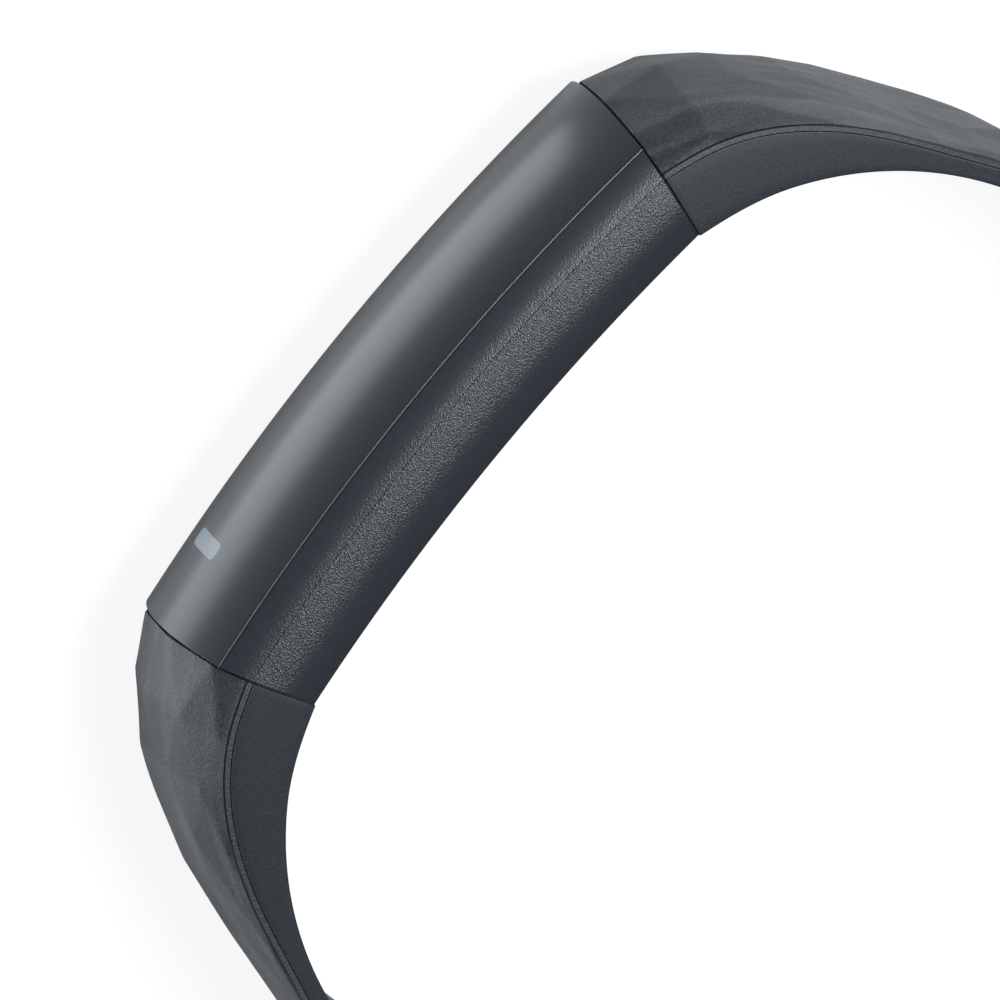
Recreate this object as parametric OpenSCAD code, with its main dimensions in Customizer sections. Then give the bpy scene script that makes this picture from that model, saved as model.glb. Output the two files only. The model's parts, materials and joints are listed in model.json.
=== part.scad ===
// Wrist-worn fitness tracker: a curved pod with a smoked lens, and a soft two-part strap with a peg clasp.
// The band lies on its side. +Z runs along the wrist, the lens faces -Y, and all sizes are in millimetres.

/* [Pod] */
// Length of the lens edge between the two strap seams
pod_len = 44; // [40:0.5:50]
// How far the strap's sides stand proud of the pod's sides
pod_step = 0.05; // [0:0.01:0.2]
// Radius of the pod's lengthwise bend, at the lens edge
bend_r = 177; // [140:1:260]
// Depth of the pod behind the lens edge, at its middle
pod_h = 8; // [8:0.1:9]
// Radius of the rounded sides in cross-section
side_r = 10.2; // [10:0.1:12]
// Depth of the widest point below the lens edge
side_b = 4.4; // [4:0.1:5]
// Radius of the skin side in cross-section
back_r = 37; // [32:1:60]
// Wall of the pod shells
wall = 1.2; // [1:0.05:1.3]
// Depth of the parting line below the lens edge
part_b = 2.2; // [2:0.05:2.6]
// Angle of the strap seams from the lens normal
seam_deg = 18; // [16:0.5:20]
// Dark line left open between pod and strap
seam_gap = 0.16; // [0.1:0.02:0.3]

/* [Lens] */
// Height of the lens crown over its edge
lens_crown = 2.26; // [2:0.02:2.6]
// Thickness of the lens
lens_t = 1; // [0.8:0.05:1.1]
// Length of the solid stretch at each end of the lens
lens_end = 2; // [1.5:0.25:3]
// Distance of the touch mark from the middle of the lens
mark_x = 16.5; // [14:0.5:17.5]
// Size of the touch mark along the pod
mark_l = 1.2; // [0.8:0.1:1.6]
// Size of the touch mark across the pod
mark_w = 4; // [3:0.1:5]
// Depth of the touch mark's inlay
mark_t = 0.25; // [0.2:0.05:0.4]

/* [Strap] */
// Width of the strap
strap_w = 19.2; // [18:0.1:21]
// Inner radius of the strap's two bends
loop_r = 23.6; // [22:0.2:26]
// Length of the straight side between the two bends of each strap
side_len = 17; // [10:0.5:20]
// Thickness of the strap where it is thin
strap_t = 2.3; // [2.2:0.05:2.6]
// Thickness of the strap at the pod
root_t = 9.3; // [9:0.1:9.8]
// Side wall height of the thin strap
strap_side_h = 1.6; // [1.4:0.05:1.7]
// Side wall height of the strap at the pod
root_side_h = 4.8; // [4.6:0.1:5.2]
// Angle round the bend where the strap starts to thin
taper_start_deg = 12; // [10:0.5:14]
// Angle over which the strap thins
taper_span_deg = 55; // [48:1:60]
// Angle round the bend where the side wall starts to lower
side_start_deg = 24; // [20:0.5:28]
// How far the side wall leans in at its top, at the pod
side_lean = 0.3; // [0.1:0.05:0.5]
// Fullness of the arched outer face: 0.5 is an ellipse, 1 a parabola
arch_power = 0.75; // [0.5:0.05:1]
// Bevel on the strap's lower edges
edge_r = 0.2; // [0.1:0.05:0.4]
// Height of the facets on the outer face
facet_h = 0.12; // [0.05:0.01:0.15]
// Length of one facet row along the strap
facet_pitch = 2.8; // [2.6:0.1:3.6]
// Rounding of the strap's two free ends
tip_r = 6; // [4:0.5:7.5]
// Strap left between the last hole and the tail's tip
tail_edge = 0.8; // [0.6:0.05:1]
// Strap left between the clasp plate and the clasp end's tip
clasp_edge = 3; // [2.5:0.1:3.2]

/* [Clasp] */
// Distance between neighbouring holes
hole_pitch = 4.5; // [4.2:0.1:4.8]
// Radius of the strap holes
hole_r = 1.7; // [1.7:0.01:1.8]
// Number of holes past the tail's bending line, on the pod's side of it
free_holes = 6; // [2:1:7]
// Radius of the clasp pegs
peg_r = 1.25; // [1.1:0.01:1.25]
// Room between the two strap layers
layer_gap = 0.3; // [0.25:0.05:0.5]
// Length of the clasp plate along the strap
plate_l = 15; // [14:0.5:16]
// Width of the clasp plate
plate_w = 11; // [9:0.5:12]
// Thickness of the clasp plate
plate_t = 0.9; // [0.9:0.05:1.2]
// Height of the plate's seat above the inner face of the clasp strap
plate_seat = 1.6; // [1.5:0.05:1.7]

/* [Strap fastening] */
// Length of the lug that reaches into the strap
lug_len = 3.4; // [3:0.1:4]
// Width of the lug
lug_w = 10; // [8:0.5:11]
// Height of the lug above the strap's inner face
lug_low = 1.5; // [1.4:0.1:1.8]
// Height of the lug
lug_h = 2.6; // [2.4:0.1:2.8]
// Radius of the strap pins
pin_r = 0.75; // [0.6:0.05:0.8]
// Length of the strap pins
pin_len = 14; // [13:0.5:15]

/* [Display] */
// Half width of the display
display_half_w = 5.9; // [5:0.1:6]
// Distance from the strap seam to the display's ends
display_inset = 5; // [4.5:0.25:7]
// Thickness of the display
display_t = 0.85; // [0.7:0.05:0.85]
// Thickness of the foam behind the display
foam_t = 0.3; // [0.2:0.05:0.3]

/* [Electronics] */
// Thickness of the chassis at its screws
chassis_t = 0.5; // [0.45:0.05:0.6]
// Thickness of the main board
board_t = 0.6; // [0.5:0.05:0.6]
// Length of the main board
board_l = 32; // [28:0.5:36]
// Width of the main board
board_w = 13.4; // [11:0.2:13.6]
// Height of the chips
chip_t = 0.7; // [0.5:0.05:0.75]
// Length of the battery
battery_l = 20; // [16:0.5:20.5]
// Width of the battery
battery_w = 12; // [10:0.5:12.5]
// Thickness of the battery
battery_t = 1.75; // [1.5:0.05:1.9]
// Thickness of the battery's protection board
guard_t = 0.6; // [0.4:0.1:0.8]
// Thickness of the sensor board
sensor_board_t = 0.4; // [0.3:0.05:0.5]
// Radius of the sensor window
window_r = 5.5; // [5:0.1:6]
// Height of the sensor window over the skin side
window_bump = 1.2; // [0.8:0.1:1.6]
// Radius of the charging contacts
contact_r = 1.1; // [0.8:0.05:1.3]
// Distance between the two charging contacts
contact_gap = 6; // [5:0.25:7]
// Distance of the charging contacts from the pod's middle
contact_x = -11; // [-12:0.25:-10.5]

/* [Vibration motor] */
// Radius of the motor case
motor_r = 4; // [3.5:0.1:4.1]
// Height of the motor case
motor_h = 2.7; // [2.4:0.1:2.8]
// Wall of the motor case
motor_wall = 0.3; // [0.25:0.05:0.4]
// Radius of the motor shaft
shaft_r = 0.4; // [0.3:0.05:0.5]

/* [Hidden] */
$fn = 64;
// Clearances: glued and stacked pieces, pieces that slide together, and the two halves of a bending line
stack_gap = 0.05;
fit_gap = 0.12;
flex_gap = 0.12;
run_gap = 0.04;
past = 1;
bend_sweep = 24;
bend_fn = 720;
arch_cols = 8;
tip_steps = 5;

mid_z = strap_w / 2;
half_w = strap_w / 2;
pod_half_w = half_w - pod_step;
layer_step = strap_t + facet_h + layer_gap;

// The loop: each strap bends, runs straight along the wrist's side, bends again and runs flat to the clasp
edge_sag = bend_r - sqrt(bend_r * bend_r - pod_len * pod_len / 4);
back_sag = back_r - sqrt(back_r * back_r - pod_half_w * pod_half_w);
seam_rho = loop_r + pod_h - back_sag;
arc_a = pod_len / 2 - seam_rho * sin(seam_deg);
arc_b = edge_sag + seam_rho * cos(seam_deg);
inner_b = arc_b + side_len + loop_r;
bend_len = loop_r * (90 - seam_deg) * PI / 180;
arc_len = bend_len + side_len + loop_r * PI / 2;
mid_s = arc_len + arc_a;
tail_len = 2 * hole_pitch + hole_r + tail_edge;
peg_tip = 0.3;
clasp_len = plate_l / 2 + clasp_edge;
clasp_b = inner_b + layer_step;
plate_b = clasp_b + plate_seat;
peg_len = plate_b - inner_b + peg_tip;
lens_y = -(plate_b + plate_t - lens_crown) / 2;

// Bending lines, measured along the strap from the seam
root_flex_s = bend_len + side_len / 2;
peel_s = arc_len;
tail_flex_s = mid_s - 2.5 * hole_pitch;

// Angles round the bend: where the thinning ends, and where the clasp strap lifts over the tail
taper_end_deg = taper_start_deg + taper_span_deg;
jog_start_deg = 120;
jog_end_deg = 176;

// Half width of the pod's outline at a depth below the lens edge, and the lens cross-section
function outline_w(b, inset) = pod_half_w - side_r + sqrt(pow(side_r - inset, 2) - pow(side_b - b, 2));
lens_half_w = outline_w(0, 0);
lens_r = (lens_half_w * lens_half_w + lens_crown * lens_crown) / (2 * lens_crown);

// Screws that hold the chassis to its bosses
boss_r = 1.1;
screw_inset = 4.1;
screw_x = pod_len / 2 - screw_inset;

// Depths of the stack behind the lens edge; the chassis has a flat underside at board_b
foam_b = stack_gap + display_t;
chassis_b = foam_b + foam_t;
board_b = bend_r - sqrt(bend_r * bend_r - screw_x * screw_x) + chassis_b + chassis_t;
chip_b = board_b + board_t;
battery_b = chip_b + chip_t + stack_gap;
sensor_board_b = battery_b + battery_t + stack_gap;
sensor_chip_b = sensor_board_b + sensor_board_t;
floor_b = pod_h - wall;
sensor_chip_t = floor_b - sensor_chip_b - stack_gap;
window_seat = 0.5;
motor_b = chip_b + stack_gap;

// Along the pod: a screw boss, the motor, the battery's protection board and the battery
motor_margin = 0.4;
motor_x = screw_x - boss_r - motor_margin - motor_r;
guard_x = motor_x - motor_r - fit_gap - guard_t / 2;
battery_x = guard_x - guard_t / 2 - stack_gap - battery_l / 2;

// Chassis, its two screws and the flat ribbons
chassis_inset = 2.4;
screw_r = 0.5;
screw_len = 3;
screw_head_r = 0.85;
screw_head_t = 0.3;
screw_seat_t = 0.3;
ribbon_w = 6;
ribbon_t = 0.15;
ribbon_inset = 0.55;
ribbon_x = pod_len / 2 - display_inset - ribbon_inset;
ribbon_top = bend_r - sqrt(pow(bend_r - foam_b, 2) - pow(ribbon_x + ribbon_t, 2)) + stack_gap;
antenna_l = 18;
chassis_half_w = outline_w(chassis_b, wall) - ribbon_t - stack_gap - fit_gap;
guard_margin = 1;
antenna_h = 0.8;
sensor_ribbon_w = 4;

// Chips on the main board as place, length and width, and the sensor's chips
chips = [[-9, 6, 6], [-1.5, 5, 5], [3.5, 3, 4]];
small_chip = 1;
small_chip_z = 4.4;
small_chip_steps = [-5:2];
led_w = 1.6;
diode_w = 2.6;
connector_l = 2;
connector_w = 7;
connector_margin = 0.3;
connector_end = min(board_l / 2, ribbon_x - 3 * ribbon_t / 2) - connector_margin;
sensor_board_w = 9;

// Strap formulas, by length s along the inner face from the seam
function ease(x) = let (c = max(0, min(1, x))) c * c * (3 - 2 * c);
function straight(s) = max(0, min(side_len, s - bend_len));
function turn(s) = min(seam_deg + (s - straight(s)) / loop_r * 180 / PI, 180);
function thinning(s) = 1 - ease((turn(s) - taper_start_deg) / taper_span_deg);
function crown_h(s) = strap_t + (root_t - strap_t) * thinning(s);
function lowering(s) = 1 - ease((turn(s) - side_start_deg) / (taper_end_deg - side_start_deg));
function side_h(s) = strap_side_h + (root_side_h - strap_side_h) * lowering(s);
function jog(s) = ease((turn(s) - jog_start_deg) / (jog_end_deg - jog_start_deg));
function face_point(s) = [arc_a + loop_r * sin(turn(s)) - max(0, s - arc_len),
    arc_b + straight(s) - loop_r * cos(turn(s))];
function face_normal(s) = [sin(turn(s)), -cos(turn(s))];
function tip_half_w(s, end) = half_w - tip_r + sqrt(tip_r * tip_r - pow(max(0, s - end + tip_r), 2));

// Stations along a strap piece: even rows, then closer rows round a free end
function rows(s0, s1) = let (n = ceil((s1 - s0) / facet_pitch)) [for (i = [0:n]) s0 + (s1 - s0) * i / n];
function tip_rows(end) = [for (i = [1:tip_steps]) end - tip_r + tip_r * sin(90 * i / tip_steps)];

// One cross-section as height and width: flat inner face, straight sides and an arched, faceted top
function section(s, i, w) = let (
    g = side_h(s), c = crown_h(s) - g, e = edge_r, top = w - side_lean * lowering(s)) concat(
    [[0, e - w], [e, -w], [g, -top]],
    [for (j = [1:arch_cols - 1])
        [g + c * pow(sin(180 * j / arch_cols), 2 * arch_power) + ((i + j) % 2 == 0 ? facet_h : 0),
            -top * cos(180 * j / arch_cols)]],
    [[g, top], [e, w], [0, w - e]]);
function ring(s, i, w, lift) = let (p = face_point(s), n = face_normal(s), up = lift * jog(s))
    [for (q = section(s, i, w)) [p[0] + n[0] * (q[0] + up), lens_y + p[1] + n[1] * (q[0] + up), mid_z + q[1]]];

// A strap piece from s0 to s1 on the +X side; a free end has its tip rounded
module strap_piece(s0, s1, lift, free_end = false) {
    stations = free_end ? concat(rows(s0, s1 - tip_r), tip_rows(s1)) : rows(s0, s1);
    rings = len(stations);
    widths = [for (s = stations) free_end ? tip_half_w(s, s1) : half_w];
    points = [for (i = [0:rings - 1]) each ring(stations[i], i, widths[i], lift)];
    m = arch_cols + 5;
    quads = [for (i = [0:rings - 2], k = [0:m - 1]) let (
        a = i * m + k, b = i * m + (k + 1) % m, c = b + m, d = a + m)
        each ((i + k) % 2 == 0 ? [[a, b, c], [a, c, d]] : [[a, b, d], [b, c, d]])];
    caps = [[for (k = [m - 1:-1:0]) k], [for (k = [0:m - 1]) (rings - 1) * m + k]];
    polyhedron(points, concat(quads, caps));
}

// Children at length s along the +X strap, with their Z axis along the strap's outward normal
module on_strap(s, height = 0) {
    p = face_point(s);
    n = face_normal(s);
    translate([p[0] + n[0] * height, lens_y + p[1] + n[1] * height, mid_z])
        rotate([0, 0, turn(s) - 90])
        rotate([0, 90, 0]) children();
}

module strap_hole(s, r) on_strap(s, -past) cylinder(h = crown_h(s) + facet_h + layer_step + 2 * past, r = r);

// The seam frame on the +X side: X leads away from the pod, -Y leads outward, the origin is the bend's centre
module at_seam() translate([arc_a, lens_y + arc_b, mid_z]) rotate([0, 0, seam_deg]) children();
module both_sides() {
    children();
    mirror([1, 0, 0]) children();
}

module lug_block(grow) at_seam()
    translate([-wall / 2, -(loop_r + lug_low + lug_h + grow), -lug_w / 2 - grow])
    cube([lug_len + wall / 2 + grow, lug_h + 2 * grow, lug_w + 2 * grow]);
module pin_rod(r, l) at_seam()
    translate([lug_len / 2, -(loop_r + lug_low + lug_h / 2), -l / 2]) cylinder(h = l, r = r);

module strap_root(s1, lift) difference() {
    strap_piece(seam_gap / 2, s1, lift);
    lug_block(fit_gap);
    pin_rod(pin_r + run_gap, pin_len + 2 * fit_gap);
}

// Pod forms: a cross-section swept round the lengthwise bend, cut by the two seam planes
module swept() translate([0, lens_y + bend_r, mid_z]) rotate([0, 0, -90 - bend_sweep / 2])
    rotate_extrude(angle = bend_sweep, $fn = bend_fn) children();
module band(b0, b1, w) translate([bend_r - b1, -w]) square([b1 - b0, 2 * w]);
module rounded_side(inset) hull() for (y = [pod_half_w - side_r, -strap_w])
    translate([bend_r - side_b, y]) circle(side_r - inset, $fn = 180);
module pod_outline(inset) intersection() {
    rounded_side(inset);
    mirror([0, 1]) rounded_side(inset);
    translate([bend_r - pod_h + back_r, 0]) circle(back_r - inset, $fn = 360);
}
module seam_wedge(inset) {
    in = inset + seam_gap / 2;
    near = loop_r - pod_h;
    far = loop_r + root_t + pod_h;
    function cut(rho) = [arc_a + rho * sin(seam_deg) - in * cos(seam_deg),
        lens_y + arc_b - rho * cos(seam_deg) - in * sin(seam_deg)];
    p = cut(near);
    q = cut(far);
    translate([0, 0, -past]) linear_extrude(strap_w + 2 * past)
        polygon([p, q, [-q[0], q[1]], [-p[0], p[1]]]);
}
module pod_form(inset, b0, b1) intersection() {
    swept() intersection() {
        pod_outline(inset);
        band(b0, b1, side_r);
    }
    seam_wedge(inset);
}
module pod_slab(inset, b0, b1, w) intersection() {
    swept() band(b0, b1, w);
    seam_wedge(inset);
}

// Flat blocks and round pieces inside the pod, placed by depth b below the lens edge
module block(x, b, l, w, t) translate([x - l / 2, lens_y + b, mid_z - w / 2]) cube([l, t, w]);
module disc(x, b, z, r, t) translate([x, lens_y + b, mid_z + z]) rotate([-90, 0, 0]) cylinder(h = t, r = r);

module rounded_rect(l, w, r) {
    square([l - 2 * r, w], center = true);
    square([l, w - 2 * r], center = true);
    for (x = [r - l / 2, l / 2 - r], y = [r - w / 2, w / 2 - r]) translate([x, y]) circle(r, $fn = 48);
}

// The lens between two depths below its outer face, cut off at the lens edge
module lens_section(t0, t1) difference() {
    intersection() {
        translate([bend_r + lens_crown - lens_r, 0]) circle(lens_r - t0, $fn = 240);
        band(-lens_crown - past, 0, lens_half_w + past);
    }
    if (t1 < lens_crown) translate([bend_r + lens_crown - lens_r, 0]) circle(lens_r - t1, $fn = 240);
}
module mark_prism(grow) translate([0, lens_y + bend_r, mid_z])
    rotate([0, 0, asin(mark_x / bend_r)])
    translate([0, -bend_r - lens_crown - past, 0]) rotate([-90, 0, 0])
    linear_extrude(2 * lens_crown) rounded_rect(mark_l + 2 * grow, mark_w + 2 * grow, mark_l / 3);

module front_lens() color([0.12, 0.13, 0.14]) difference() {
    intersection() {
        swept() lens_section(0, lens_r);
        seam_wedge(0);
    }
    intersection() {
        swept() lens_section(lens_t, lens_r);
        seam_wedge(lens_end);
    }
    intersection() {
        swept() lens_section(-past, mark_t);
        mark_prism(0);
    }
}

module touch_mark() color([0.6, 0.64, 0.68]) intersection() {
    swept() lens_section(0, mark_t - run_gap);
    mark_prism(-run_gap);
}

module lens_resin() color([0.3, 0.32, 0.34]) intersection() {
    swept() intersection() {
        lens_section(lens_t + run_gap, lens_r);
        band(-lens_crown, -run_gap, display_half_w);
    }
    seam_wedge(lens_end + run_gap);
}

module display_panel() color([0.04, 0.05, 0.06])
    pod_slab(display_inset, stack_gap, foam_b, display_half_w);

module display_foam() color([0.16, 0.16, 0.16])
    pod_slab(display_inset + wall, foam_b, chassis_b, display_half_w - wall / 2);

module upper_housing() color([0.2, 0.21, 0.23]) difference() {
    pod_form(0, 0, part_b);
    pod_form(wall, display_t, part_b + past);
    pod_slab(display_inset - wall / 2, -past, part_b, display_half_w + fit_gap);
    seal_ring(0, part_b + past);
}

module seal_ring(gap, bottom) difference() {
    pod_form(wall / 3 + gap, part_b - wall / 3 + gap, bottom);
    pod_form(2 * wall / 3 - gap, part_b - wall, bottom + past);
}
module housing_seal() color([0.1, 0.1, 0.1]) seal_ring(run_gap, part_b);

module rear_cover() color([0.19, 0.2, 0.22]) difference() {
    union() {
        difference() {
            pod_form(0, part_b, pod_h + past);
            pod_form(wall, part_b - past, pod_h);
        }
        intersection() {
            pod_form(wall / 2, board_b, pod_h);
            for (x = [-screw_x, screw_x])
                disc(x, board_b + stack_gap, 0, boss_r, pod_h);
        }
        both_sides() lug_block(0);
    }
    disc(0, 0, 0, window_r + run_gap, 2 * pod_h);
    for (z = [-contact_gap / 2, contact_gap / 2])
        disc(contact_x, 0, z, contact_r + run_gap, 2 * pod_h);
    for (x = [-screw_x, screw_x])
        disc(x, 0, 0, screw_r + run_gap, pod_h - wall);
    both_sides() pin_rod(pin_r + run_gap, strap_w);
}

module sensor_window() color([0.05, 0.05, 0.06]) translate([0, lens_y, mid_z]) rotate([-90, 0, 0])
    rotate_extrude() intersection() {
        square([window_r, pod_h + window_bump]);
        union() {
            translate([0, floor_b]) square([window_r, wall - window_seat]);
            translate([0, pod_h + window_bump - 2 * window_r]) circle(2 * window_r, $fn = 180);
        }
        translate([0, floor_b]) square([window_r, wall + window_bump]);
    }

module sensor_board() color([0.08, 0.22, 0.14]) block(0, sensor_board_b, 2 * window_r, sensor_board_w, sensor_board_t);

module sensor_leds() color([0.75, 0.85, 0.7])
    for (x = [-window_r / 2, window_r / 2]) block(x, sensor_chip_b, led_w, led_w, sensor_chip_t);

module photodiode() color([0.1, 0.1, 0.14]) block(0, sensor_chip_b, diode_w, diode_w, sensor_chip_t);

module charging_contacts() color([0.83, 0.68, 0.36])
    for (z = [-contact_gap / 2, contact_gap / 2]) intersection() {
        pod_form(0, part_b, pod_h);
        disc(contact_x, floor_b - stack_gap, z, contact_r, pod_h);
    }

module chassis() color([0.14, 0.15, 0.16]) difference() {
    intersection() {
        pod_slab(chassis_inset, chassis_b, pod_h, chassis_half_w);
        block(0, 0, pod_len, strap_w, board_b);
    }
    ribbon_slot();
    for (x = [-screw_x, screw_x]) {
        disc(x, 0, 0, screw_r + run_gap, pod_h);
        disc(x, 0, 0, screw_head_r + fit_gap, board_b - screw_seat_t);
    }
}

module chassis_screws() color([0.7, 0.7, 0.72]) for (x = [-screw_x, screw_x]) {
    disc(x, board_b - screw_seat_t - screw_head_t, 0, screw_r, screw_head_t + screw_len);
    disc(x, board_b - screw_seat_t - screw_head_t, 0, screw_head_r, screw_head_t);
}

// The board makes room for the ribbon and the screw bosses where it reaches that far
module main_board() color([0.06, 0.2, 0.14]) difference() {
    block(0, board_b, board_l, board_w, board_t);
    ribbon_slot();
    for (x = [-screw_x, screw_x]) disc(x, 0, 0, boss_r + fit_gap, pod_h);
}

module board_chips() color([0.09, 0.09, 0.1]) {
    for (c = chips) block(c[0], chip_b, c[1], c[2], chip_t);
    for (i = small_chip_steps, z = [-small_chip_z, small_chip_z]) translate([0, 0, z])
        block(2 * i * small_chip, chip_b, small_chip, small_chip, chip_t / 2);
}

module board_connector() color([0.8, 0.78, 0.7])
    block(connector_l / 2 - connector_end, chip_b, connector_l, connector_w, chip_t);

// A copper strip glued to the side of the chassis
module antenna() color([0.72, 0.5, 0.3]) translate([0, 0, chassis_half_w + stack_gap + ribbon_t / 2])
    block(0, board_b - antenna_h, antenna_l, ribbon_t, antenna_h);

// The ribbon leaves the display's end, folds down through a slot in the chassis and reaches the connector
module ribbon_slot() block(-ribbon_x, 0, 3 * ribbon_t, ribbon_w + 2 * fit_gap, pod_h);
module display_ribbon() color([0.62, 0.42, 0.16]) {
    reach = ribbon_x + ribbon_t / 2 - connector_end;
    block(-ribbon_x, ribbon_top, ribbon_t, ribbon_w, chip_b + chip_t / 2 + ribbon_t - ribbon_top);
    block(-connector_end - reach / 2, chip_b + chip_t / 2, reach, ribbon_w, ribbon_t);
}

// The ribbon from the sensor board's edge, round the battery and up to the main board
module sensor_ribbon() color([0.62, 0.42, 0.16]) {
    side_z = battery_w / 2 + stack_gap;
    translate([0, 0, side_z + ribbon_t / 2])
        block(0, chip_b, sensor_ribbon_w, ribbon_t, sensor_board_b + ribbon_t - chip_b);
    reach = side_z + ribbon_t - sensor_board_w / 2;
    translate([0, 0, (sensor_board_w + reach) / 2])
        block(0, sensor_board_b, sensor_ribbon_w, reach, ribbon_t);
}

module battery() color([0.66, 0.67, 0.7]) block(battery_x, battery_b, battery_l, battery_w, battery_t);

module battery_guard_board() color([0.1, 0.25, 0.12])
    block(guard_x, battery_b, guard_t, battery_w - 2 * guard_margin, battery_t);

module motor_case() color([0.72, 0.73, 0.75]) difference() {
    disc(motor_x, motor_b, 0, motor_r, motor_h - motor_wall);
    disc(motor_x, motor_b + motor_wall, 0, motor_r - motor_wall, motor_h);
    disc(motor_x, motor_b - past, 0, shaft_r, motor_h);
}

module motor_lid() color([0.68, 0.69, 0.71])
    disc(motor_x, motor_b + motor_h - motor_wall, 0, motor_r, motor_wall);

module motor_shaft() color([0.8, 0.8, 0.82]) disc(motor_x, motor_b, 0, shaft_r, motor_h - motor_wall);

module motor_rotor() color([0.5, 0.48, 0.44]) difference() {
    intersection() {
        disc(motor_x, motor_b + motor_wall + fit_gap, 0, motor_r - motor_wall - 2 * fit_gap,
            motor_h - 2 * motor_wall - 2 * fit_gap);
        union() {
            block(motor_x + motor_r / 2, motor_b, motor_r, 2 * motor_r, motor_h);
            disc(motor_x, motor_b, 0, 3 * shaft_r, motor_h);
        }
    }
    disc(motor_x, motor_b - past, 0, shaft_r + run_gap, motor_h + 2 * past);
}

module strap_pins() color([0.72, 0.72, 0.74]) both_sides() pin_rod(pin_r, pin_len);

strap_color = [0.22, 0.23, 0.25];

module long_strap_root() color(strap_color) difference() {
    strap_root(tail_flex_s - flex_gap / 2, 0);
    for (i = [0:free_holes - 1]) strap_hole(mid_s - (i + 3) * hole_pitch, hole_r);
}

module long_strap_tail() color(strap_color) difference() {
    strap_piece(tail_flex_s + flex_gap / 2, mid_s + tail_len, 0, true);
    for (i = [-2:2]) strap_hole(mid_s + i * hole_pitch, hole_r);
}

module clasp_strap_root() color(strap_color) mirror([1, 0, 0]) strap_root(root_flex_s - flex_gap / 2, layer_step);

module clasp_strap_link() color(strap_color) mirror([1, 0, 0])
    strap_piece(root_flex_s + flex_gap / 2, peel_s - flex_gap / 2, layer_step);

module clasp_strap_end() color(strap_color) difference() {
    mirror([1, 0, 0]) strap_piece(peel_s + flex_gap / 2, mid_s + clasp_len, layer_step, true);
    plate_form(plate_b, run_gap, strap_t);
    for (x = [-hole_pitch, hole_pitch]) disc(x, clasp_b - past, 0, peg_r + run_gap, strap_t + 2 * past);
}

module plate_form(b, grow, t) translate([0, lens_y + b, mid_z]) rotate([-90, 0, 0])
    linear_extrude(t) rounded_rect(plate_l + 2 * grow, plate_w + 2 * grow, plate_w / 4);

// Each peg is a straight shank with a bevelled tip
module clasp_pegs() color([0.7, 0.71, 0.73]) for (x = [-hole_pitch, hole_pitch])
    translate([x, lens_y + inner_b - peg_tip, mid_z]) rotate([-90, 0, 0]) rotate_extrude()
        polygon([[0, 0], [peg_r - peg_tip, 0], [peg_r, peg_tip], [peg_r, peg_len], [0, peg_len]]);

module clasp_plate() color([0.62, 0.63, 0.65]) plate_form(plate_b, 0, plate_t);

front_lens();
touch_mark();
lens_resin();
display_panel();
display_foam();
display_ribbon();
upper_housing();
housing_seal();
rear_cover();
sensor_window();
sensor_board();
sensor_leds();
photodiode();
sensor_ribbon();
charging_contacts();
chassis();
chassis_screws();
main_board();
board_chips();
board_connector();
antenna();
battery();
battery_guard_board();
motor_case();
motor_lid();
motor_shaft();
motor_rotor();
strap_pins();
long_strap_root();
long_strap_tail();
clasp_strap_root();
clasp_strap_link();
clasp_strap_end();
clasp_pegs();
clasp_plate();
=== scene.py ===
import itertools
import json
import math

import bmesh
import bpy
import numpy as np
from mathutils import Matrix, Vector


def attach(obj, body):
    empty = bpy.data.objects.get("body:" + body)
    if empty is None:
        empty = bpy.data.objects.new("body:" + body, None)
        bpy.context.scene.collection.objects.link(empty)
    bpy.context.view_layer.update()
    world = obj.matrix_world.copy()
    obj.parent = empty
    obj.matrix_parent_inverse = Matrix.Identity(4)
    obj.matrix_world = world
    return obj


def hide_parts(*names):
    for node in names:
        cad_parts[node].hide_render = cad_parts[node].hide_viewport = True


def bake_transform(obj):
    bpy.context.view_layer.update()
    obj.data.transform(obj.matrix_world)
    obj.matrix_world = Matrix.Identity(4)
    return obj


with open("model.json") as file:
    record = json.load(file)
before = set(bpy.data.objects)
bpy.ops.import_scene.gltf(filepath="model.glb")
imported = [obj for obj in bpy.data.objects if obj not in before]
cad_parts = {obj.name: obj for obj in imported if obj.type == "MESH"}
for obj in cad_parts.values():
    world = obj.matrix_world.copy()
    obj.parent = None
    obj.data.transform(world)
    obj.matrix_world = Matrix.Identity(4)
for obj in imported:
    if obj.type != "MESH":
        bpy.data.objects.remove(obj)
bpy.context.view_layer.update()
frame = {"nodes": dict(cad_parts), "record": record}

# Metres in a millimetre, because all sizes below are in millimetres
MM = 0.001

# Pod, as in the part
POD_LEN = 44
POD_STEP = 0.05
BEND_R = 177
POD_H = 8
SIDE_R = 10.2
SIDE_B = 4.4
BACK_R = 37
WALL = 1.2
PART_B = 2.2
SEAM = math.radians(18)
SEAM_GAP = 0.16
LENS_CROWN = 2.26
LENS_T = 1
DISPLAY_T = 0.85
DISPLAY_HALF_W = 5.9
DISPLAY_INSET = 5
LUG_LEN = 3.4
LUG_W = 10
LUG_LOW = 1.5
LUG_H = 2.6
PIN_R = 0.75
PIN_LEN = 14
WINDOW_R = 5.5
CONTACT_R = 1.1
CONTACT_GAP = 6
CONTACT_X = -11
RUN_GAP = 0.04
FIT_GAP = 0.12

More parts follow.
